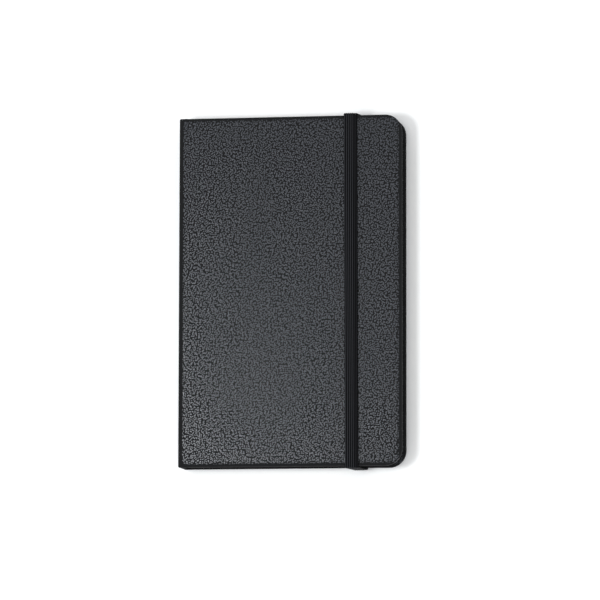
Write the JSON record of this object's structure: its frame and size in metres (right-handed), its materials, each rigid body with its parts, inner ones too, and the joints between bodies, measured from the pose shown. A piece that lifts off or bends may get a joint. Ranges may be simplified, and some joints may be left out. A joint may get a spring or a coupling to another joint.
{
  "type": "pocket sketchbook",
  "caption": "Case-bound pocket sketchbook with sewn signatures, an opening front cover, turning leaves, an inner back pocket and an elastic closure strap.",
  "frame": {"origin": "middle of the back cover's outer face, where the closed sketchbook rests", "axes": "+X from the spine to the fore edge, +Y towards the head, +Z out of the front cover"},
  "size_m": [0.09, 0.142, 0.0149],
  "materials": {
    "cover_leatherette": "soft satin black leatherette with a fine wrinkled grain",
    "greyboard": "matt grey binder's board",
    "page_paper": "matt ivory drawing paper with a slight tooth",
    "sewing_thread": "waxed white linen thread",
    "spine_mull": "open-weave glued lining cloth",
    "pocket_card": "smooth ivory card",
    "pocket_cloth": "matt black woven bookcloth",
    "strap_elastic": "black ribbed woven elastic"
  },
  "bodies": {
    "book": {"front_joint_strip": "cover_leatherette", "spine_wrap": "cover_leatherette", "spine_stiffener": "greyboard", "spine_lining": "spine_mull", "back_cover_wrap": "cover_leatherette", "back_board": "greyboard", "back_endpaper": "page_paper", "signature_1_sheet_1": "page_paper", "signature_1_sheet_2": "page_paper", "signature_1_sheet_3": "page_paper", "signature_1_sheet_4": "page_paper", "signature_2_sheet_1": "page_paper", "signature_2_sheet_2": "page_paper", "signature_2_sheet_3": "page_paper", "signature_2_sheet_4": "page_paper", "signature_3_sheet_1": "page_paper", "signature_3_sheet_2": "page_paper", "signature_3_sheet_3": "page_paper", "signature_3_sheet_4": "page_paper", "signature_4_sheet_1": "page_paper", "signature_4_sheet_2": "page_paper", "signature_4_sheet_3": "page_paper", "signature_4_sheet_4": "page_paper", "signature_5_sheet_1": "page_paper", "signature_5_sheet_2": "page_paper", "signature_5_sheet_3": "page_paper", "signature_5_sheet_4": "page_paper", "sewing_thread_1": "sewing_thread", "sewing_thread_2": "sewing_thread", "sewing_thread_3": "sewing_thread", "sewing_thread_4": "sewing_thread", "pocket_panel": "pocket_card", "pocket_gusset_head": "pocket_cloth", "pocket_gusset_tail": "pocket_cloth", "pocket_gusset_fore": "pocket_cloth", "strap_end_head": "strap_elastic", "strap_end_tail": "strap_elastic"},
    "front_cover": {"front_cover_wrap": "cover_leatherette", "front_board": "greyboard", "front_pastedown": "page_paper"},
    "flyleaf": {"front_flyleaf": "page_paper"},
    "first_leaf": {"leaf_1": "page_paper"},
    "second_leaf": {"leaf_2": "page_paper"},
    "third_leaf": {"leaf_3": "page_paper"},
    "fourth_leaf": {"leaf_4": "page_paper"},
    "closure_strap": {"elastic_strap": "strap_elastic"}
  },
  "joints": [
    {"name": "front_cover_open", "type": "hinge", "parent": "book", "child": "front_cover", "pos_m": [-0.044, 0, 0.01275], "axis": [0, -1, 0], "range_deg": [0, 178], "deforming": ["front_joint_strip"]},
    {"name": "flyleaf_turn", "type": "hinge", "parent": "book", "child": "flyleaf", "pos_m": [-0.044, 0, 0.01275], "axis": [0, -1, 0], "range_deg": [0, 177]},
    {"name": "first_leaf_turn", "type": "hinge", "parent": "book", "child": "first_leaf", "pos_m": [-0.044, 0, 0.01275], "axis": [0, -1, 0], "range_deg": [0, 176]},
    {"name": "second_leaf_turn", "type": "hinge", "parent": "book", "child": "second_leaf", "pos_m": [-0.044, 0, 0.01275], "axis": [0, -1, 0], "range_deg": [0, 173]},
    {"name": "third_leaf_turn", "type": "hinge", "parent": "book", "child": "third_leaf", "pos_m": [-0.044, 0, 0.01275], "axis": [0, -1, 0], "range_deg": [0, 170]},
    {"name": "fourth_leaf_turn", "type": "hinge", "parent": "book", "child": "fourth_leaf", "pos_m": [-0.044, 0, 0.01275], "axis": [0, -1, 0], "range_deg": [0, 164]},
    {"name": "strap_release", "type": "hinge", "parent": "book", "child": "closure_strap", "pos_m": [0.027, 0, 0], "axis": [0, 1, 0], "range_deg": [0, 181], "deforming": ["elastic_strap"]}
  ],
  "couplings": [
    {"joint": "flyleaf_turn", "follows": "front_cover_open", "ratio": 0.9921},
    {"joint": "first_leaf_turn", "follows": "front_cover_open", "ratio": 0.9831},
    {"joint": "second_leaf_turn", "follows": "front_cover_open", "ratio": 0.9691},
    {"joint": "third_leaf_turn", "follows": "front_cover_open", "ratio": 0.9494},
    {"joint": "fourth_leaf_turn", "follows": "front_cover_open", "ratio": 0.9157},
    {"joint": "strap_release", "follows": "front_cover_open", "ratio": 1.0112}
  ]
}
